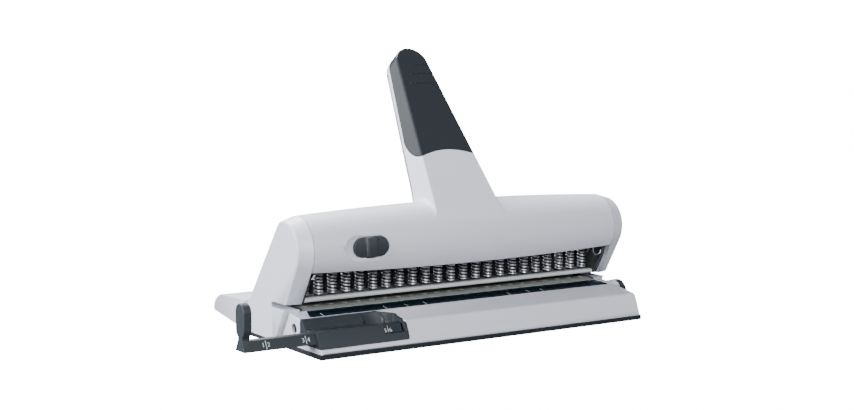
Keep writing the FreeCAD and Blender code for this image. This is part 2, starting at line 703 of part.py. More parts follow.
def press_bar():
    """Steel beam over the pin heads; its tongues run in the side plates."""
    deep = PRESS_BAR_DEPTH / 2
    half, reach = plate_inner - FREE, plate_outer - FREE
    body = block(-half, half, -deep, deep, press_bottom, press_top)
    return joined([body, block(-reach, reach, -deep, TONGUE_REAR_Y, press_bottom, press_top)])


# ---------------------------------------------------------------- margin setting
margin_turn = math.radians(MARGIN_REST)
margin_cam_y = MARGIN_AXIS_Y - MARGIN_THROW * math.sin(margin_turn)
margin_cam_z = MARGIN_AXIS_Z + MARGIN_THROW * math.cos(margin_turn)


def margin_shaft():
    """Cross shaft with two eccentrics under the paper table."""
    body = rod(MARGIN_SHAFT_D / 2, 4 - base_half, knob_x, MARGIN_AXIS_Y, MARGIN_AXIS_Z)
    half = MARGIN_CAM_W / 2
    cams = [rod(MARGIN_CAM_R, x - half, x + half, margin_cam_y, margin_cam_z)
            for x in (-MARGIN_CAM_X, MARGIN_CAM_X)]
    return joined([body] + cams)


def margin_knob():
    """Round setting knob with finger notches."""
    body = rod(KNOB_R, knob_x, knob_x + KNOB_W, MARGIN_AXIS_Y, MARGIN_AXIS_Z)
    body = rounded(body, KNOB_W / 5, lambda e: e.CenterOfMass.x > knob_x + KNOB_W - 0.01)
    notches = []
    for i in range(KNOB_NOTCHES):
        angle = 2 * math.pi * i / KNOB_NOTCHES
        reach = KNOB_R + KNOB_NOTCH_R / 2
        notches.append(rod(KNOB_NOTCH_R, knob_x + 1.5, knob_x + KNOB_W + 1,
                           MARGIN_AXIS_Y + reach * math.cos(angle), MARGIN_AXIS_Z + reach * math.sin(angle)))
    return body.cut(notches)


def margin_stop():
    """Paper stop behind the pins, with two arms that the eccentrics push to the rear."""
    flag_y = margin_cam_y + MARGIN_CAM_R + SEAT
    low = TABLE_Z - WALL - 2 * STOP_T
    high = TABLE_Z - WALL - STOP_T
    pieces = [block(3 - row_half, row_half - 3, STOP_Y, STOP_Y + STOP_T, low, slot_top - FREE)]
    for x in (-MARGIN_CAM_X, MARGIN_CAM_X):
        pieces.append(block(x - 3, x + 3, flag_y, STOP_Y + 1, low, high))
        pieces.append(block(x - 3, x + 3, flag_y, flag_y + STOP_T, MARGIN_AXIS_Z - MARGIN_CAM_R, high))
    return joined(pieces)


# ---------------------------------------------------------------- lever, barrel and cams
def barrel_solid(grow=0.0, first=-BARREL_REAR_DEG, last=BARREL_FRONT_DEG, inner=0.0):
    """Crowned barrel round the X axis between two angles, solid down to the inner radius."""
    half, mid, end = barrel_half, BARREL_MID_R + grow, BARREL_END_R + grow
    steps = [(0, mid, half, end), (half, inner), (-half, inner)]
    if inner > 0:
        steps = steps[:2] + [(0, inner + mid - end, -half, inner)]
    face = Part.Face(path(lambda x, r: Vector(x, 0, r), (-half, end), steps))
    face.rotate(Vector(0, 0, 0), Vector(1, 0, 0), first)
    return face.revolve(Vector(0, 0, 0), Vector(1, 0, 0), last - first)


def lever_half(s, inset):
    return LEVER_ROOT_HALF - LEVER_TAPER * (s - LEVER_ROOT_S) - inset


def lever_prism(y0, y1, foot, inset=0.0):
    """Tapered lever outline with a round top, upright, from y0 to y1."""
    radius = LEVER_TOP_R - inset
    centre = LEVER_TOP_S - LEVER_TOP_R
    tilt = math.atan(LEVER_TAPER)
    side = radius * math.cos(tilt)
    level = centre + radius * math.sin(tilt)
    return front_prism(y0, y1, (-lever_half(foot, inset), foot), (-side, level),
                       (0, centre + radius, side, level), (lever_half(foot, inset), foot))


def behind_lever(offset):
    """Everything behind the lever's rear face, moved forward by offset."""
    wide = 2 * LEVER_ROOT_HALF
    steps = [(-forward - offset, s) for forward, s in LEVER_REAR_LINE]
    steps += [(wide, LEVER_TOP_S + 10), (wide, -10), (-LEVER_REAR_LINE[0][0] - offset, -10)]
    return side_prism(-wide, wide, *steps)


def lever_block():
    """The whole lever before its rear is shaped, with a small round along its front edges."""
    return rounded(lever_prism(-LEVER_FRONT_N, 3, 0), LEVER_EDGE_R,
                   lambda e: abs(e.CenterOfMass.y + LEVER_FRONT_N) < 0.01 and e.CenterOfMass.z > 10)


def lever_blank():
    """The whole lever, upright."""
    return lever_block().cut(behind_lever(0))


def grip_region():
    """Part of the lever that the soft grip covers: front and flanks, arched at the foot."""
    wide = 2 * LEVER_ROOT_HALF
    top = LEVER_TOP_S + 5
    front = -LEVER_FRONT_N - 1
    flank = side_prism(
        -wide, wide, (front, GRIP_FOOT_S - 4), (-LEVER_FRONT_N, GRIP_FOOT_S - FREE),
        (-15.8, 67.2, -GRIP_FLANK_N, GRIP_FLANK_S),
        (-GRIP_FLANK_N - GRIP_FLANK_GROWTH * (top - GRIP_FLANK_S), top), (front, top))
    reach = lever_half(GRIP_FOOT_S, 2.0)
    arch = front_prism(front - 1, 0, (-wide, GRIP_FOOT_S - 3), (-reach, GRIP_FOOT_S),
                       (0, GRIP_FOOT_S + GRIP_ARCH, reach, GRIP_FOOT_S), (wide, GRIP_FOOT_S - 3),
                       (wide, top), (-wide, top))
    return flank.common(arch)


def lever_grip():
    """Soft grip, one even thickness over the lever's front and flanks."""
    core = lever_prism(-LEVER_FRONT_N + GRIP_T, 5, 0, GRIP_T)
    return leaned(lever_blank().common(grip_region()).cut(core))


def stadium(x0, x1, half, y0, y1):
    """Upright plate with round ends, drawn out along Y, at the lock's height."""
    z = LOCK_Z
    return front_prism(y0, y1, (x0 + half, z - half), (x1 - half, z - half), (x1, z, x1 - half, z + half),
                       (x0 + half, z + half), (x0, z, x0 + half, z - half))


def root_flare():
    """Ring round the barrel with a hollow outline; it eases the lever's flank into the barrel."""
    out_x = lever_half(BARREL_MID_R, 0) + LEVER_ROOT_R
    low = BARREL_MID_R - (BARREL_MID_R - BARREL_END_R) * (out_x / barrel_half) ** 2
    high = low + LEVER_ROOT_R
    top_x = lever_half(high, 0)
    bend = LEVER_ROOT_R * math.sqrt(0.5)
    face = Part.Face(path(lambda x, r: Vector(x, 0, r), (top_x, high),
                          [(out_x - bend, high - bend, out_x, low), (out_x, low - BARREL_WALL / 2),
                           (top_x - LEVER_WALL / 2, low - BARREL_WALL / 2), (top_x - LEVER_WALL / 2, high)]))
    face.rotate(Vector(0, 0, 0), Vector(1, 0, 0), -30)
    ring = face.revolve(Vector(0, 0, 0), Vector(1, 0, 0), 115)
    return ring.common(block(0, 2 * LEVER_ROOT_HALF, -LEVER_FRONT_N, LEVER_FRONT_N, 0, 2 * BARREL_MID_R))


def lever_shell():
    """Barrel and lever as one light moulding, with ribs, the grip's seat and the lock's well."""
    origin, along = Vector(0, 0, 0), Vector(1, 0, 0)
    barrel = barrel_solid()
    barrel.rotate(origin, along, LEVER_LEAN)
    flare = root_flare()
    lever = lever_block().fuse([flare, mirrored(flare)]).cut(behind_lever(0))
    body = barrel.fuse(lever)
    skin = GRIP_T + LEVER_WALL
    foot = REAR_COVER_FOOT_S - FREE
    seat = behind_lever(LEVER_REAR_T + SEAT).common(lever_prism(-LEVER_FRONT_N, 20, foot))
    low_back = behind_lever(LEVER_WALL).common(block(-barrel_half, barrel_half, -LEVER_FRONT_N, 20, 0, foot))
    room = lever_prism(-LEVER_FRONT_N + skin, 5, 12, skin).cut(low_back)
    grip_seat = grip_region().cut(lever_prism(-LEVER_FRONT_N + GRIP_T, 5, 0, GRIP_T))
    body = body.cut([seat, grip_seat, room])
    body.rotate(origin, along, -LEVER_LEAN)
    body = body.cut(barrel_solid(-BARREL_WALL, -180, 179.9))
    ribs = []
    for x in RIB_PLACES:
        x0, x1 = x - RIB_T / 2, x + RIB_T / 2
        wheel = rod(BARREL_MID_R, x0, x1, 0, 0).common(barrel_solid(-1.0, -80, 118))
        ribs.append(joined([wheel, rod(CAM_HUB_R, x0, x1, 0, 0)]))
    ways = [rod(SHAFT_D / 2 + SEAT, -barrel_half, barrel_half, 0, 0)]
    deep = LOCK_FLOOR_Y + 2
    low, high = LOCK_X - LOCK_WELL_HALF, LOCK_X + LOCK_WELL_HALF
    rim = LOCK_WELL_R + 2.5
    well = block(low - 3, high + 3, -BARREL_MID_R, deep, LOCK_Z - rim, LOCK_Z + rim)
    well = well.common(barrel_solid())
    ways.append(stadium(low, high, LOCK_WELL_R, -2 * BARREL_MID_R, LOCK_FLOOR_Y))
    stem_way = LOCK_ROD_R + FREE
    ways.append(block(stem_left - LOCK_TRAVEL - 1, stem_right + 1, LOCK_FLOOR_Y - 1, deep + 1,
                      LOCK_Z - stem_way, LOCK_Z + stem_way))
    ways.append(rod(stem_way, -barrel_half + RIB_T * 4, stem_right + 1, LOCK_ROD_Y, LOCK_Z))
    body = body.fuse(ribs + [well]).cut(ways)
    return on_axis(body.removeSplitter())


# ends of the stem that joins the lock's button to its bolt
stem_left = (LOCK_BUTTON_LEFT + LOCK_BUTTON_RIGHT) / 2 - 6.0
stem_right = stem_left + 12.0


def lock_slider():
    """Sliding lock button with an upright finger ridge; its bolt runs inside the barrel."""
    left, right, half = LOCK_BUTTON_LEFT, LOCK_BUTTON_RIGHT, LOCK_BUTTON_R
    far = -2 * BARREL_MID_R
    button = stadium(left, right, half, far, LOCK_FLOOR_Y - SEAT).common(barrel_solid(0.6))
    mid = (left + right) / 2
    swell = BARREL_MID_R + 0.6
    lens = plan_prism(LOCK_Z - half, LOCK_Z + half, (mid - 4.6, -swell + 5.5),
                      (mid, -swell - 1.6, mid + 4.6, -swell + 5.5))
    ridge = lens.common(stadium(left, right, half, far, LOCK_FLOOR_Y - 1)).common(barrel_solid(3.0))
    stem = block(stem_left, stem_right, LOCK_FLOOR_Y - 1, LOCK_ROD_Y, LOCK_Z - LOCK_ROD_R,
                 LOCK_Z + LOCK_ROD_R)
    bolt = rod(LOCK_ROD_R, LOCK_TRAVEL + 2 * FREE - plate_inner, stem_right, LOCK_ROD_Y, LOCK_Z)
    return on_axis(joined([button, ridge, stem, bolt]))


def lever_rear_cover():
    """Thin panel that closes the lever's open back."""
    plate = lever_prism(-LEVER_FRONT_N, 5, REAR_COVER_FOOT_S, FREE)
    return leaned(plate.cut(behind_lever(0)).common(behind_lever(LEVER_REAR_T)))


def lever_core():
    """Steel blade inside the lever, with an eye round the main shaft."""
    blade = side_prism(-CORE_HALF, CORE_HALF, (-6, 5), (-11, 24), (-13, CORE_TOP_S), (-18, CORE_TOP_S),
                       (-16, 20), (-9, 0), (-4, 0))
    eye = rod(CAM_HUB_R, -1.5 * CORE_HALF, 1.5 * CORE_HALF, 0, 0)
    bore = rod(SHAFT_D / 2 + SEAT / 2, -2 * CORE_HALF, 2 * CORE_HALF, 0, 0)
    return leaned(joined([blade, eye]).cut(bore))


def cam(x):
    """Cam whose face is the involute of a circle: it presses straight down over the pins."""
    points = []
    steps = 8
    for i in range(steps + 1):
        turn = -0.25 + i * (swing + 0.35) / steps
        drop = CAM_REST_DROP + AXIS_BACK * turn
        points.append(Vector(x, AXIS_BACK * math.cos(turn) + drop * math.sin(turn),
                             AXIS_BACK * math.sin(turn) - drop * math.cos(turn)))
    face = Part.BSplineCurve()
    face.interpolate(points)
    first, last = points[0], points[-1]
    back = Vector(x, CAM_HUB_R * 0.55, CAM_HUB_R * 0.8)
    hub = Vector(x, 0, 0)
    wire = Part.Wire([face.toShape(), Part.makeLine(last, back), Part.makeLine(back, hub),
                      Part.makeLine(hub, first)])
    lobe = Part.Face(wire).extrude(Vector(CAM_W, 0, 0)).translated(Vector(-CAM_W / 2, 0, 0))
    body = joined([lobe, rod(CAM_HUB_R, x - CAM_W / 2, x + CAM_W / 2, 0, 0)])
    return on_axis(body.cut(rod(SHAFT_D / 2 + SEAT / 2, x - CAM_W, x + CAM_W, 0, 0)))


def main_shaft():
    end = plate_outer + SHAFT_END
    return rod(SHAFT_D / 2, -end, end, axis_y, AXIS_Z)


def shaft_clips():
    """Rings that keep the shaft in place outside the bushes."""
    start = plate_outer + 5 * FREE
    ring = rod(SHAFT_D / 2 + 2.5, start, start + 4 * FREE, axis_y, AXIS_Z)
    ring = ring.cut(rod(SHAFT_D / 2 + SEAT / 2, start - 1, start + 3, axis_y, AXIS_Z))
    return group([ring, mirrored(ring)])


def outward(degrees):
    """Direction away from the shaft, its angle taken from straight up towards the front."""
    angle = math.radians(degrees)
    return Vector(0, -math.sin(angle), math.cos(angle))


def wire(start, end):
    """Straight stretch of round wire with a round knuckle at its end."""
    along = end - start
    stretch = Part.makeCylinder(RETURN_WIRE_R, along.Length, start, along)
    return joined([stretch, Part.makeSphere(RETURN_WIRE_R, end)])


def return_spring(leg_x, degrees, reach):
    """Torsion spring round the shaft as a sleeve, and its leg out to the barrel's lip."""
    first, last = RETURN_COIL_X, RETURN_COIL_X + RETURN_COIL_W
    coil = rod(RETURN_COIL_R, first, last, 0, 0)
    coil = coil.cut(rod(SHAFT_D / 2 + 0.4, first - 1, last + 1, 0, 0))
    foot, tip = (Vector(leg_x, 0, 0) + outward(degrees) * r for r in (RETURN_COIL_R - 1.2, reach))
    return [coil, wire(foot, tip)], tip


def right_return_spring():
    """Its leg ends in a round hook under the barrel's lip."""
    pieces, tip = return_spring(RETURN_COIL_X + 0.6, RETURN_LEG_DEG, barrel_inner_r + 0.4)
    bottom = tip - Vector(0, 0, RETURN_HOOK_DROP)
    centre = bottom + Vector(RETURN_HOOK_R, 0, 0)
    room = 2 * RETURN_HOOK_R
    bend = Part.makeTorus(RETURN_HOOK_R, RETURN_WIRE_R, centre, Vector(0, 1, 0))
    bend = bend.common(block(centre.x - room, centre.x + room, tip.y - 1, tip.y + 1,
                             centre.z - room, centre.z))
    return on_axis(joined(pieces + [wire(tip, bottom), bend]))


def left_return_spring():
    """Its leg bends towards the side plate and ends there."""
    leg_x = RETURN_COIL_X + RETURN_COIL_W - RETURN_WIRE_R
    pieces, tip = return_spring(leg_x, RETURN_STUB_DEG, barrel_inner_r - 1)
    end = tip + Vector(RETURN_STUB, 0, -RETURN_STUB_FALL)
    return mirrored(on_axis(joined(pieces + [wire(tip, end)])))


# ---------------------------------------------------------------- write the nodes
nodes = {
    "base_mat": base_mat(),
    "base_shell": base_shell(),
    "rear_deck": rear_deck(),
    "rear_foot": rear_foot(),
    "rubber_feet": rubber_feet(),
    "right_end_cap": right_end_cap(),
    "left_end_cap": mirrored(right_end_cap()),
    "rear_cover": rear_cover(),
    "right_side_plate": right_side_plate(),
    "left_side_plate": mirrored(right_side_plate()),
    "right_bush": right_bush(),
    "left_bush": mirrored(right_bush()),
    "tie_rods": tie_rods(),
    "tie_screws": tie_screws(),
    "back_plate": back_plate(),
    "die_plate": die_plate(),
    "punch_guide": punch_guide(),
    "guide_rail": guide_rail(),
    "scale_strip": scale_strip(),
    "guide_holder": guide_holder(),
    "guide_bar": guide_bar(),
    "margin_shaft": margin_shaft(),
    "margin_knob": margin_knob(),
    "margin_stop": margin_stop(),
    "punch_springs": punch_springs(),
    "punch_pins": punch_pins(),
    "press_bar": press_bar(),
    "main_shaft": main_shaft(),
    "shaft_clips": shaft_clips(),
    "lever_shell": lever_shell(),
    "lever_grip": lever_grip(),
    "lever_rear_cover": lever_rear_cover(),
    "lever_core": lever_core(),
    "lock_slider": lock_slider(),
    "right_return_spring": right_return_spring(),
    "left_return_spring": left_return_spring(),
}
for number, place in enumerate(CAM_PLACES, 1):
    nodes["cam_%d" % number] = cam(place)
for name, shape in nodes.items():
    save(name, shape)
    print(name, len(shape.Solids), round(shape.Volume, 1), shape.isValid())
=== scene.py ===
# %% [markdown]
# A manual desk punch with a long lever.  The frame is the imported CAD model: every solid is
# already in place, in metres, and rides on its own moving body.  This file dresses it: smooth
# skins for the mouldings, real wire for the springs, printed marks, and a finish for each piece.

# %% Load the frame
import json
import math

import bmesh
import bpy
import numpy as np
from mathutils import Matrix, Vector
from mathutils.bvhtree import BVHTree


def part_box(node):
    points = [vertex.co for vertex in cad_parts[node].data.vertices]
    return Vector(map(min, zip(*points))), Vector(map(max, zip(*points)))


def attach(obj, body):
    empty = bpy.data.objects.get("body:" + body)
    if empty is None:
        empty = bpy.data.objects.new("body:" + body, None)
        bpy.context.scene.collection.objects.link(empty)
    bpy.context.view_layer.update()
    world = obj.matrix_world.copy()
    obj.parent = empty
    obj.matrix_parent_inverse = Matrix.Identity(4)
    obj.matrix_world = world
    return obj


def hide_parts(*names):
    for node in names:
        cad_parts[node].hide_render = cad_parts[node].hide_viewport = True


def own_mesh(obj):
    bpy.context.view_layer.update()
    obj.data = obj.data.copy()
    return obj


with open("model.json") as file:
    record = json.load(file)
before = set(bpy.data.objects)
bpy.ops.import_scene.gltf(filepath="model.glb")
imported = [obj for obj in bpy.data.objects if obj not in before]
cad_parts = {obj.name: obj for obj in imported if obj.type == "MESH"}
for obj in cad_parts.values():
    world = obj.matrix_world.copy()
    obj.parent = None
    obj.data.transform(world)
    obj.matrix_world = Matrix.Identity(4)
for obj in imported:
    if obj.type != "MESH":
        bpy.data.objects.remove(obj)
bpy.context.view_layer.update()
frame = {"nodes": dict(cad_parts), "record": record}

nodes = frame["nodes"]

# %% [markdown]
# The camera stands low at the front left of the machine and looks along the row of pins.  It is
# placed by its direction and by where it stands, and the lens is a short telephoto, which keeps
# the far end of the row only a little smaller than the near end.

# %% Camera
IMAGE_WIDTH_PX, FOCAL_PX = 854, 1577.95
SENSOR_MM = 36.0
CAMERA_PLACE = (-0.68924, -1.03056, 0.23768)
CAMERA_AZIMUTH, CAMERA_ELEVATION = -32.92, 6.44


def aim_camera(place, azimuth, elevation):
    """Camera at a place, looking back along the direction with that azimuth and elevation."""
    data = bpy.data.cameras.new("camera")
    data.sensor_width = SENSOR_MM
    data.lens = FOCAL_PX * SENSOR_MM / IMAGE_WIDTH_PX
    data.clip_start, data.clip_end = 0.05, 20.0
    camera = bpy.data.objects.new("camera", data)
    turn, tilt = math.radians(azimuth), math.radians(elevation)
    level = math.cos(tilt)
    away = Vector((math.sin(turn) * level, -math.cos(turn) * level, math.sin(tilt)))
    camera.rotation_mode = "QUATERNION"
    camera.rotation_quaternion = (-away).to_track_quat("-Z", "Y")
    camera.location = place
    bpy.context.scene.collection.objects.link(camera)
    bpy.context.scene.camera = camera
    return camera


camera = aim_camera(CAMERA_PLACE, CAMERA_AZIMUTH, CAMERA_ELEVATION)
print("lens in mm:", round(camera.data.lens, 2))

# %% [markdown]
# Studio light as for a catalogue.  A large soft panel stands high behind the machine and lights
# what faces up, a strong low one at the left lights the flanks, a weaker one lights the front,
# and a strip of backdrop at the rear left gives dark plastics their long soft reflections.  The
# floor and the surround show almost white to the camera, but send little light back up, so that
# undersides stay darker than the sides and the top.

# %% Floor and light
SURROUND_LIGHT, SURROUND_SEEN = 0.08, 16.0
FLOOR_TONE, FLOOR_SEEN = 0.05, 16.0
FLOOR_HALF, FLOOR_Z = 6.0, -0.0002
# each panel: where it stands, where it looks, its two sides in metres, its power in watts
PANELS = {
    "panel_top": ((-0.2, 1.2, 1.7), (0, 0, 0.05), (1.8, 1.2), 172.0),
    "panel_left": ((-2.2, 0.0, 0.6), (0, 0, 0.08), (1.3, 0.7), 112.0),
    "panel_front": ((-0.3, -2.15, 0.9), (0, 0, 0.08), (1.4, 0.55), 70.0),
    "panel_backdrop": ((-1.3, 2.0, 0.35), (0, 0, 0.1), (2.0, 0.6), 12.0),
}


def seen_mix(tree, lit, seen, output):
    """What the camera sees directly is one shader, and what lights the object is another."""
    path = tree.nodes.new("ShaderNodeLightPath")
    mix = tree.nodes.new("ShaderNodeMixShader")
    tree.links.new(path.outputs["Is Camera Ray"], mix.inputs[0])
    tree.links.new(lit.outputs[0], mix.inputs[1])
    tree.links.new(seen.outputs[0], mix.inputs[2])
    tree.links.new(mix.outputs[0], output.inputs["Surface"])


def make_floor(half, z):
    """One square sheet at height z, matt grey to the light and almost white to the camera."""
    mesh = bpy.data.meshes.new("floor")
    corners = [(-half, -half, z), (half, -half, z), (half, half, z), (-half, half, z)]
    mesh.from_pydata(corners, [], [(0, 1, 2, 3)])
    material = bpy.data.materials.new("floor_paper")
    material.use_nodes = True
    tree = material.node_tree
    tree.nodes.clear()
    matte = tree.nodes.new("ShaderNodeBsdfDiffuse")
    matte.inputs["Color"].default_value = (FLOOR_TONE, FLOOR_TONE, FLOOR_TONE, 1)
    glow = tree.nodes.new("ShaderNodeEmission")
    glow.inputs["Strength"].default_value = FLOOR_SEEN
    seen = tree.nodes.new("ShaderNodeAddShader")
    tree.links.new(matte.outputs[0], seen.inputs[0])
    tree.links.new(glow.outputs[0], seen.inputs[1])
    seen_mix(tree, matte, seen, tree.nodes.new("ShaderNodeOutputMaterial"))
    mesh.materials.append(material)
    floor = bpy.data.objects.new("floor", mesh)
    bpy.context.scene.collection.objects.link(floor)


def make_panel(name, place, target, size, watts):
    """Rectangular area light that looks at a point."""
    data = bpy.data.lights.new(name, "AREA")
    data.shape = "RECTANGLE"
    data.size, data.size_y = size
    data.energy = watts
    lamp = bpy.data.objects.new(name, data)
    lamp.location = place
    lamp.rotation_mode = "QUATERNION"
    lamp.rotation_quaternion = (Vector(target) - Vector(place)).to_track_quat("-Z", "Y")
    bpy.context.scene.collection.objects.link(lamp)


def make_surround():
    """Even surround, bright where the camera sees it."""
    world = bpy.data.worlds.new("surround")
    world.use_nodes = True
    tree = world.node_tree
    tree.nodes.clear()
    shades = []
    for strength in (SURROUND_LIGHT, SURROUND_SEEN):
        shade = tree.nodes.new("ShaderNodeBackground")
        shade.inputs["Color"].default_value = (1, 1, 1, 1)
        shade.inputs["Strength"].default_value = strength
        shades.append(shade)
    seen_mix(tree, *shades, tree.nodes.new("ShaderNodeOutputWorld"))
    bpy.context.scene.world = world


make_floor(FLOOR_HALF, FLOOR_Z)
for label, settings in PANELS.items():
    make_panel(label, *settings)
make_surround()

# %% [markdown]
# Shared effects are node groups, built once.  `moulded_grain` is the fine spark-eroded texture
# of plastic mouldings, with a faint cloudiness in its colour.  `brushed_lines` stretches noise
# along one axis for rolled or ground steel.  A group hands out only what changes over the
# surface; the shader that uses it stays in each material, where the export can read it.

# %% Node groups
CLOUD_SCALE, CLOUD_SHARE = 14.0, 0.7
SPECK_SCALE = 900.0
CLOUD_ROUGHNESS_DRIFT, LINE_ROUGHNESS_DRIFT = 0.14, 0.25
GRAIN_SCALE = 2600.0
GROUP_RESULTS = [("Color", "NodeSocketColor"), ("Roughness", "NodeSocketFloat"),
                 ("Height", "NodeSocketFloat")]


def new_group(name, inputs, outputs):
    """Empty shader group with named sockets, each given as (name, type, default)."""
    group = bpy.data.node_groups.new(name, "ShaderNodeTree")
    for label, kind, value in inputs:
        socket = group.interface.new_socket(name=label, in_out="INPUT", socket_type=kind)
        socket.default_value = value
    for label, kind in outputs:
        group.interface.new_socket(name=label, in_out="OUTPUT", socket_type=kind)
    return group, group.nodes.new("NodeGroupInput"), group.nodes.new("NodeGroupOutput")


def math_node(tree, operation, first, second):
    """Math node; each operand is a socket or a number."""
    node = tree.nodes.new("ShaderNodeMath")
    node.operation = operation
    for i, operand in enumerate((first, second)):
        if isinstance(operand, (int, float)):
            node.inputs[i].default_value = operand
        else:
            tree.links.new(operand, node.inputs[i])
    return node.outputs[0]


def object_point(tree):
    """Place on the object, in metres."""
    return tree.nodes.new("ShaderNodeTexCoord").outputs["Object"]


def noise_of(tree, scale, detail, vector):
    """Noise between 0 and 1; its scale is a socket or a number."""
    node = tree.nodes.new("ShaderNodeTexNoise")
    node.inputs["Detail"].default_value = detail
    if isinstance(scale, (int, float)):
        node.inputs["Scale"].default_value = scale
    else:
        tree.links.new(scale, node.inputs["Scale"])
    tree.links.new(vector, node.inputs["Vector"])
    return node.outputs["Fac"]


def tint_mix(tree, share, first, second):
    """Colour between first and second by share."""
    node = tree.nodes.new("ShaderNodeMix")
    node.data_type = "RGBA"
    tree.links.new(share, node.inputs["Factor"])
    tree.links.new(first, node.inputs["A"])
    tree.links.new(second, node.inputs["B"])
    return node.outputs["Result"]


def build_moulded_grain():
    """Colour = mix of two tones by broad noise with some fine specks in it; height = the finest
    noise; roughness drifts a little with the broad one."""
    tree, given, result = new_group(
        "moulded_grain",
        [("Tone", "NodeSocketColor", (0.6, 0.6, 0.6, 1)),
         ("Second Tone", "NodeSocketColor", (0.58, 0.58, 0.6, 1)),
         ("Grain Scale", "NodeSocketFloat", GRAIN_SCALE),
         ("Roughness", "NodeSocketFloat", 0.45)],
        GROUP_RESULTS)
    point = object_point(tree)
    cloud = noise_of(tree, CLOUD_SCALE, 3.0, point)
    fine = noise_of(tree, given.outputs["Grain Scale"], 2.0, point)
    speck = noise_of(tree, SPECK_SCALE, 1.0, point)
    share = math_node(tree, "ADD", math_node(tree, "MULTIPLY", cloud, CLOUD_SHARE),
                      math_node(tree, "MULTIPLY", speck, 1 - CLOUD_SHARE))
    color = tint_mix(tree, share, given.outputs["Tone"], given.outputs["Second Tone"])
    tree.links.new(color, result.inputs["Color"])
    drift = math_node(tree, "MULTIPLY", math_node(tree, "SUBTRACT", cloud, 0.5), CLOUD_ROUGHNESS_DRIFT)
    roughness = math_node(tree, "ADD", given.outputs["Roughness"], drift)
    tree.links.new(roughness, result.inputs["Roughness"])
    tree.links.new(fine, result.inputs["Height"])
    return tree


def build_brushed_lines():
    """Noise squeezed along one axis gives lines; they change the tone, roughness and height."""
    tree, given, result = new_group(
        "brushed_lines",
        [("Tone", "NodeSocketColor", (0.5, 0.5, 0.5, 1)),
         ("Second Tone", "NodeSocketColor", (0.4, 0.4, 0.4, 1)),
         ("Direction", "NodeSocketVector", (20.0, 900.0, 900.0)),
         ("Roughness", "NodeSocketFloat", 0.35)],
        GROUP_RESULTS)
    scaled = tree.nodes.new("ShaderNodeVectorMath")
    scaled.operation = "MULTIPLY"
    tree.links.new(object_point(tree), scaled.inputs[0])
    tree.links.new(given.outputs["Direction"], scaled.inputs[1])
    lines = noise_of(tree, 1.0, 4.0, scaled.outputs["Vector"])
    color = tint_mix(tree, lines, given.outputs["Tone"], given.outputs["Second Tone"])
    tree.links.new(color, result.inputs["Color"])
    drift = math_node(tree, "MULTIPLY", math_node(tree, "SUBTRACT", lines, 0.5), LINE_ROUGHNESS_DRIFT)
    roughness = math_node(tree, "ADD", given.outputs["Roughness"], drift)
    tree.links.new(roughness, result.inputs["Roughness"])
    tree.links.new(lines, result.inputs["Height"])
    return tree


moulded_grain = build_moulded_grain()
brushed_lines = build_brushed_lines()
print("groups:", [g.name for g in bpy.data.node_groups])

# %% [markdown]
# Each finish is its own material.  The group gives colour, roughness and the height of its fine
# relief; the shader stays in the material.  A Bevel node feeds the Bump node, so that the CAD
# solids' sharp edges catch the light like edges with a small radius.

# %% Material makers
PLASTIC_RELIEF, STEEL_RELIEF = 0.00004, 0.00003
EDGE_SAMPLES = 6


def finish_material(name, group, settings, bump, depth, edge, metallic=0.0, gloss=0.5):
    """Principled shader fed by one of the shared groups.  `bump` is the strength and `depth` the
    height in metres of its relief, and `edge` the radius of the softened edges."""
    material = bpy.data.materials.new(name)
    material.use_nodes = True
    tree = material.node_tree
    shader = tree.nodes["Principled BSDF"]
    node = tree.nodes.new("ShaderNodeGroup")
    node.node_tree = group
    for label, value in settings.items():
        node.inputs[label].default_value = value
    tree.links.new(node.outputs["Color"], shader.inputs["Base Color"])
    tree.links.new(node.outputs["Roughness"], shader.inputs["Roughness"])
    relief = tree.nodes.new("ShaderNodeBump")
    relief.inputs["Strength"].default_value = bump
    relief.inputs["Distance"].default_value = depth
    tree.links.new(node.outputs["Height"], relief.inputs["Height"])
    if edge > 0:
        soft = tree.nodes.new("ShaderNodeBevel")
        soft.samples = EDGE_SAMPLES
        soft.inputs["Radius"].default_value = edge
        tree.links.new(soft.outputs["Normal"], relief.inputs["Normal"])
    tree.links.new(relief.outputs["Normal"], shader.inputs["Normal"])
    shader.inputs["Metallic"].default_value = metallic
    shader.inputs["Specular IOR Level"].default_value = gloss
    return material


def tone(red, green, blue):
    """Colour from 0-255 display values to linear light by the sRGB curve, with full alpha."""
    linear = []
    for level in (red, green, blue):
        share = level / 255
        linear.append(((share + 0.055) / 1.055) ** 2.4 if share > 0.04045 else share / 12.92)
    return (*linear, 1.0)


def plastic(name, first, second, roughness, bump=0.18, edge=0.0006, gloss=0.5):
    """Moulded plastic, rubber or paint that drifts between two tones."""
    settings = {"Tone": tone(*first), "Second Tone": tone(*second),
                "Grain Scale": GRAIN_SCALE, "Roughness": roughness}
    return finish_material(name, moulded_grain, settings, bump, PLASTIC_RELIEF, edge, gloss=gloss)


def steel(name, first, second, roughness, direction=(20.0, 900.0, 900.0), bump=0.15, edge=0.0003):
    """Metal with fine lines; the noise is stretched most along the smallest part of `direction`."""
    settings = {"Tone": tone(*first), "Second Tone": tone(*second),
                "Direction": direction, "Roughness": roughness}
    return finish_material(name, brushed_lines, settings, bump, STEEL_RELIEF, edge, metallic=1.0)
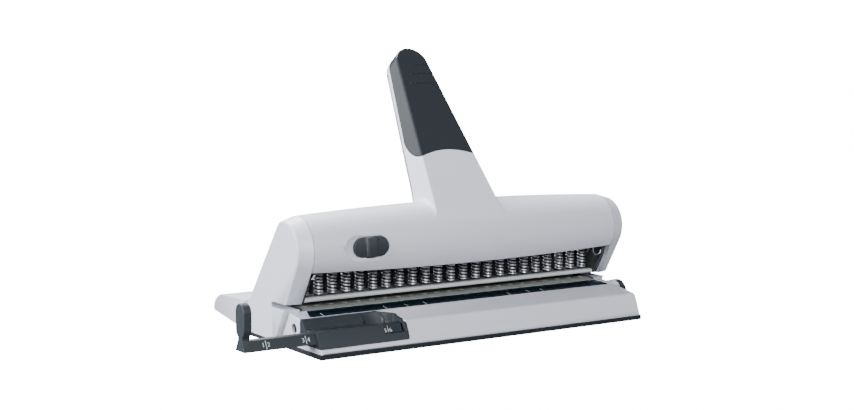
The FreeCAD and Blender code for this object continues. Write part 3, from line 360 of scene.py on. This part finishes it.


# %% [markdown]
# The finishes, one for each material slot of the record.  The housing is a cool light grey with
# a bluish tinge, the grip, guide and mat are near-black, and the metals run from dark pins, toned
# dark as painted shade for the hollow inside the springs, to bright spring wire.  Two close tones
# for each finish keep large faces from looking dead.

# %% Finishes
finishes = {
    "light_housing": plastic("light_moulding", (198, 201, 213), (193, 196, 208), 0.42),
    "dark_housing": plastic("dark_moulding", (44, 50, 56), (39, 45, 51), 0.46, gloss=0.24),
    "base_mat": plastic("mat_rubber", (32, 38, 45), (28, 33, 40), 0.6, bump=0.4, gloss=0.2),
    "foot_rubber": plastic("foot_rubber", (38, 38, 42), (32, 32, 36), 0.75, bump=0.5),
    "grip_rubber": plastic("grip_rubber", (40, 44, 49), (36, 40, 45), 0.36,
                           bump=0.2, edge=0.0012, gloss=0.34),
    "frame_plate": plastic("plate_paint", (52, 60, 58), (46, 54, 52), 0.4),
    "bush_bronze": steel("bush_bronze", (196, 150, 92), (170, 126, 74), 0.35),
    "steel": steel("turned_steel", (176, 178, 182), (150, 152, 156), 0.28, (1200.0, 30.0, 30.0)),
    "screw_steel": steel("zinc_steel", (168, 170, 172), (140, 142, 146), 0.35),
    "back_paint": plastic("back_paint", (34, 37, 39), (28, 31, 33), 0.5),
    "die_steel": plastic("die_plate_finish", (124, 130, 126), (114, 120, 116), 0.45, gloss=0.3),
    "guide_paint": plastic("guide_paint", (74, 78, 82), (64, 68, 72), 0.4),
    "rail_light": plastic("rail_finish", (190, 193, 195), (180, 184, 186), 0.32),
    "scale_black": plastic("scale_strip_finish", (8, 25, 33), (6, 21, 28), 0.2, bump=0.1, gloss=0.1),
    "stop_steel": steel("stop_steel", (110, 112, 116), (90, 92, 96), 0.4),
    "spring_chrome": steel("spring_wire_finish", (222, 224, 227), (208, 210, 214), 0.34,
                           (300.0, 300.0, 300.0), bump=0.02, edge=0.0),
    # painted shade: the pins are toned dark so that the core seen between the coils reads as shaded
    "pin_steel": steel("pin_steel", (64, 67, 71), (52, 55, 59), 0.45, (30.0, 30.0, 900.0)),
    "bar_steel": steel("bar_steel", (92, 94, 98), (74, 76, 80), 0.4),
    "core_steel": steel("core_steel", (120, 122, 126), (100, 102, 106), 0.42),
    "cam_steel": steel("cam_steel", (104, 106, 110), (84, 86, 90), 0.36),
}
print("finishes:", len(finishes))

# %% [markdown]
# A finish goes onto every CAD node by the material slot that the record gives it.

# %% Dress the CAD nodes
slot_of = {part["node"]: part["material_slot"] for part in frame["record"]["subparts"]}


def dress(thing, finish):
    """One material on the whole piece."""
    thing.data.materials.clear()
    thing.data.materials.append(finish)


for name, node in nodes.items():
    dress(node, finishes[slot_of[name]])
print("dressed nodes:", len(nodes))

# %% [markdown]
# CAD tessellation leaves the round mouldings as loose triangles, which shade as flats.  The
# skins below are copies with their corners joined and their faces smoothed, except across real
# edges.  Large faces have the last word on each corner's normal, so that flats stay flat beside
# their small rounded edges.  The shape and its place stay exactly those of the solid.

# %% Smooth skins of the mouldings
MERGE_DISTANCE = 1e-6
SHARP_DEGREES = 28.0
SKINNED = [name for name in nodes if name != "punch_springs"]
held_by_body = frame["record"]["behaviour"]["bodies"]
body_of_node = {node: body for body, held in held_by_body.items() for node in held}


def smooth_skin(name):
    """Joined and smoothed copy of a CAD node that stands for it."""
    source = nodes[name]
    mesh = source.data.copy()
    mesh.name = name + "_skin"
    work = bmesh.new()
    work.from_mesh(mesh)
    bmesh.ops.remove_doubles(work, verts=work.verts, dist=MERGE_DISTANCE)
    work.to_mesh(mesh)
    work.free()
    mesh.polygons.foreach_set("use_smooth", np.ones(len(mesh.polygons), bool))
    mesh.set_sharp_from_angle(angle=math.radians(SHARP_DEGREES))
    skin = bpy.data.objects.new(name + "_skin", mesh)
    bpy.context.scene.collection.objects.link(skin)
    even = skin.modifiers.new("even_flats", "WEIGHTED_NORMAL")
    even.keep_sharp = True
    dress(skin, finishes[slot_of[name]])
    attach(skin, body_of_node[name])
    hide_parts(name)
    return skin


skins = [smooth_skin(name) for name in SKINNED]
print("skins:", len(skins), "triangles:", sum(len(skin.data.polygons) for skin in skins))

# %% [markdown]
# Wire and ticks are grids of points worked out in numpy: rows run along a path and columns round
# it, so wire is one function of how far along the path and how far round the wire.  Quads
# between neighbouring points then make the mesh, and caps close its two ends.

# %% Surface helpers
def ring_mesh(name, grid):
    """Quads between neighbouring points of a (rows, columns, 3) array.  The last column meets the
    first, so that each row is a closed ring."""
    rows, columns = grid.shape[:2]
    index = np.arange(rows * columns).reshape(rows, columns)
    index = np.hstack([index, index[:, :1]])
    corners = [index[:-1, :-1], index[:-1, 1:], index[1:, 1:], index[1:, :-1]]
    quads = np.stack(corners, axis=-1).reshape(-1, 4)
    mesh = bpy.data.meshes.new(name)
    mesh.from_pydata(grid.reshape(-1, 3).tolist(), [], quads.tolist())
    mesh.polygons.foreach_set("use_smooth", np.ones(len(mesh.polygons), bool))
    return mesh


def tube_grid(path, radius, sides):
    """Ring of points round each point of a path: centre plus radius times cos and sin of the
    turn, along two directions square to the path."""
    along = np.gradient(path, axis=0)
    along /= np.linalg.norm(along, axis=1, keepdims=True)
    # where the path is steep, another helper keeps the cross product from vanishing
    helper = np.where(np.abs(along[:, 2:3]) < 0.9, np.array([[0, 0, 1.0]]), np.array([[0, 1.0, 0]]))
    side = np.cross(helper, along)
    side /= np.linalg.norm(side, axis=1, keepdims=True)
    over = np.cross(along, side)
    turn = np.linspace(0, 2 * math.pi, sides, endpoint=False)[None, :, None]
    spoke = np.cos(turn) * side[:, None, :] + np.sin(turn) * over[:, None, :]
    return path[:, None, :] + radius * spoke


def joined_mesh(name, meshes):
    """Several meshes in one, with the facing of their faces worked out anew."""
    work = bmesh.new()
    for mesh in meshes:
        work.from_mesh(mesh)
        bpy.data.meshes.remove(mesh)
    bmesh.ops.recalc_face_normals(work, faces=work.faces)
    out = bpy.data.meshes.new(name)
    work.to_mesh(out)
    work.free()
    out.polygons.foreach_set("use_smooth", np.ones(len(out.polygons), bool))
    return out


def add_piece(name, mesh, body, finish):
    """New object at the origin that rides on a body."""
    piece = bpy.data.objects.new(name, mesh)
    bpy.context.scene.collection.objects.link(piece)
    dress(piece, finish)
    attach(piece, body)
    return piece


def capped(mesh):
    """Close the open ends of a tube."""
    work = bmesh.new()
    work.from_mesh(mesh)
    rims = [edge for edge in work.edges if edge.is_boundary]
    bmesh.ops.holes_fill(work, edges=rims, sides=0)
    work.to_mesh(mesh)
    work.free()
    return mesh


# %% [markdown]
# Every punch pin has its own compression spring.  The real wire is thick for the coil's width and
# wound left-handed, so the strands in front fall to the right.  A helix is one formula: it turns
# evenly, and its height grows slowly in the closed end turns.

# %% Pin springs
HOLES, PITCH = 23, 0.012
COIL_TURNS, COIL_RADIUS, COIL_WIRE = 7.4, 0.0039, 0.00084
END_TURN, END_SHARE = 0.9, 0.08
POINTS_PER_TURN, COIL_START = 20, 0.6
WIRE_SIDES = 8
spring_low, spring_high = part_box("punch_springs")
joint_of = {joint["name"]: joint for joint in frame["record"]["behaviour"]["joints"]}


def coil_path(x, low, high, radius):
    """Left-handed helix round the height axis at x: its angle falls evenly with the turn, and its
    share of the height is END_SHARE over each end turn and grows evenly between END_TURN and the
    same before the end."""
    turn = np.linspace(0, 1, int(COIL_TURNS * POINTS_PER_TURN) + 1) * COIL_TURNS
    middle = np.clip((turn - END_TURN) / (COIL_TURNS - 2 * END_TURN), 0, 1)
    ends = np.clip(turn, 0, 1) + np.clip(turn - (COIL_TURNS - 1), 0, 1)
    height = low + (high - low) * (middle * (1 - 2 * END_SHARE) + END_SHARE * ends)
    angle = COIL_START - 2 * math.pi * turn
    return np.stack([x + radius * np.cos(angle), radius * np.sin(angle), height], axis=1)


def pin_springs():
    """All the coils in one mesh, one over each hole of the row."""
    low, high = spring_low[2] + COIL_WIRE, spring_high[2] - COIL_WIRE
    coils = []
    for i in range(HOLES):
        x = (i - (HOLES - 1) / 2) * PITCH
        route = coil_path(x, low, high, COIL_RADIUS - COIL_WIRE)
        coils.append(capped(ring_mesh("coil", tube_grid(route, COIL_WIRE, WIRE_SIDES))))
    return joined_mesh("pin_springs", coils)


springs = add_piece("pin_springs", pin_springs(), "frame", finishes["spring_chrome"])
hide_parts("punch_springs")
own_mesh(springs)
print("springs:", len(springs.data.polygons), "faces")

# %% [markdown]
# Printed marks are thin solids that stand a few hundredths of a millimetre proud.  An image would
# do too, but solids stay sharp at any size.  The strip in front of the pins carries plain ticks
# where sheet edges lie, and a ray dropped onto the strip finds the surface, so a tick follows it.

# %% Printed marks
PRINT_T = 0.00006
TICK_HALF_WIDTH = 0.00022
RAY_START = 0.1
finishes["print"] = plastic("print_white", (206, 209, 210), (196, 200, 202), 0.5,
                            bump=0.05, edge=0.0, gloss=0.2)


def surface_tree(name):
    """Search tree of a CAD node's triangles."""
    mesh = nodes[name].data
    corners = [vertex.co[:] for vertex in mesh.vertices]
    return BVHTree.FromPolygons(corners, [face.vertices[:] for face in mesh.polygons])


def ribbon_solid(name, line, across, up, half_width, half_height):
    """Closed bar along a line of points: at each point a rectangle, half_width to each side
    along `across` and half_height to each side along `up`."""
    across, up = np.array(across) * half_width, np.array(up) * half_height
    ring = np.stack([-across - up, across - up, across + up, -across + up])
    return capped(ring_mesh(name, np.array(line)[:, None, :] + ring[None]))


STRIP_TICKS_MM = (-127, -72, -53, -36, 44, 63, 77)
STRIP_TICK_Y_MM = (-21.4, -15.6)
strip_tree = surface_tree("scale_strip")


def strip_tick(x_mm):
    """Tick across the front part of the strip; a ray from above finds the height of each end."""
    starts = [Vector((x_mm / 1000, y_mm / 1000, RAY_START)) for y_mm in STRIP_TICK_Y_MM]
    ends = [strip_tree.ray_cast(start, Vector((0, 0, -1)))[0] for start in starts]
    return ribbon_solid("tick", ends, (1, 0, 0), (0, 0, 1), TICK_HALF_WIDTH, PRINT_T)


def flat_marks(name, meshes):
    """Printed marks in one mesh, with flat faces."""
    mesh = joined_mesh(name, meshes)
    mesh.polygons.foreach_set("use_smooth", np.zeros(len(mesh.polygons), bool))
    return mesh


strip_mesh = flat_marks("strip_ticks", [strip_tick(x_mm) for x_mm in STRIP_TICKS_MM])
add_piece("strip_ticks", strip_mesh, "frame", finishes["print"])
print("strip ticks:", len(STRIP_TICKS_MM))

# %% [markdown]
# The sliding guide bar shows where it stands by a tick between two digits at each of its stops.
# Blender's own text object gives the digits their outlines.  It is made a mesh first, and only
# then turned onto the bar's sloping front, so that the finished piece stays at the origin.

# %% Guide bar marks
BAR_FOOT, BAR_HEAD = Vector((0, -0.0509, 0.0108)), Vector((0, -0.0469, 0.0182))
BAR_STOPS = {-189: ("1", "2"), -157: ("3", "4"), -88: ("5", "6")}
DIGIT_SIZE, DIGIT_SHIFT = 0.0046, 0.0022
TICK_BELOW, TICK_ABOVE = 0.0031, 0.0033


def digit_mesh(text, place, along, up):
    """One digit as a thin solid, centred on a place, upright along `up`."""
    curve = bpy.data.curves.new("digit", "FONT")
    curve.body, curve.size, curve.extrude = text, DIGIT_SIZE, PRINT_T
    curve.align_x, curve.align_y = "CENTER", "CENTER"
    holder = bpy.data.objects.new("digit", curve)
    bpy.context.scene.collection.objects.link(holder)
    bpy.context.view_layer.update()
    graph = bpy.context.evaluated_depsgraph_get()
    mesh = bpy.data.meshes.new_from_object(holder.evaluated_get(graph))
    bpy.data.objects.remove(holder)
    bpy.data.curves.remove(curve)
    turn = Matrix((along, up, along.cross(up))).transposed().to_4x4()
    mesh.transform(Matrix.Translation(place) @ turn)
    return mesh


def bar_marks():
    """Tick with a digit at each side, on the bar's sloping front, for every stop."""
    along, up = Vector((1, 0, 0)), (BAR_HEAD - BAR_FOOT).normalized()
    out = along.cross(up)
    meshes = []
    for x_mm, (left, right) in BAR_STOPS.items():
        middle = (BAR_FOOT + BAR_HEAD) / 2 + Vector((x_mm / 1000, 0, 0))
        tick = [middle - up * TICK_BELOW, middle + up * TICK_ABOVE]
        meshes.append(ribbon_solid("tick", tick, along, out, TICK_HALF_WIDTH, PRINT_T))
        meshes.append(digit_mesh(left, middle - along * DIGIT_SHIFT, along, up))
        meshes.append(digit_mesh(right, middle + along * DIGIT_SHIFT, along, up))
    return flat_marks("bar_marks", meshes)


bar_print = add_piece("bar_marks", bar_marks(), "guide", finishes["print"])
print("bar marks:", len(bar_print.data.polygons), "faces")

# %% [markdown]
# Three fine curved lines cross the grip where the palm rests.  Each is a thin wire laid mostly
# into the rubber: a shallow arc across the front, found on the grip by rays along the lever's own
# normal.

# %% Grip lines
LEVER_LEAN = math.radians(36.2)
lever_axis = Vector(joint_of["lever_turn"]["pos_m"])
lever_up = Vector((0, math.sin(LEVER_LEAN), math.cos(LEVER_LEAN)))
lever_front = Vector((0, -math.cos(LEVER_LEAN), math.sin(LEVER_LEAN)))
# each line in mm: its height up the lever, then where it starts and ends across it
GRIP_LINES_MM = ((144.0, -4.0, 21.0), (135.5, -8.0, 22.0), (126.5, -10.0, 20.0))
LINE_POINTS, LINE_BOW = 25, 0.0045
LINE_WIRE, LINE_SINK = 0.00028, 0.00012
grip_tree = surface_tree("lever_grip")


def grip_line(height_mm, from_mm, to_mm):
    """Arc across the grip: its height falls with the square of the distance from its middle.  The
    wire lies LINE_SINK deeper than the face that a ray finds."""
    middle = (from_mm + to_mm) / 2
    points = []
    for u in np.linspace(from_mm, to_mm, LINE_POINTS):
        height = height_mm - LINE_BOW * (u - middle) ** 2
        on_axis = lever_axis + Vector((u / 1000, 0, 0)) + lever_up * (height / 1000)
        hit = grip_tree.ray_cast(on_axis + lever_front * RAY_START, -lever_front)[0]
        if hit is not None:
            points.append(hit - lever_front * LINE_SINK)
    return capped(ring_mesh("line", tube_grid(np.array(points), LINE_WIRE, WIRE_SIDES)))


line_mesh = joined_mesh("grip_lines", [grip_line(*line) for line in GRIP_LINES_MM])
grip_lines = add_piece("grip_lines", line_mesh, "lever", finishes["grip_rubber"])
print("grip lines:", len(grip_lines.data.polygons), "faces")
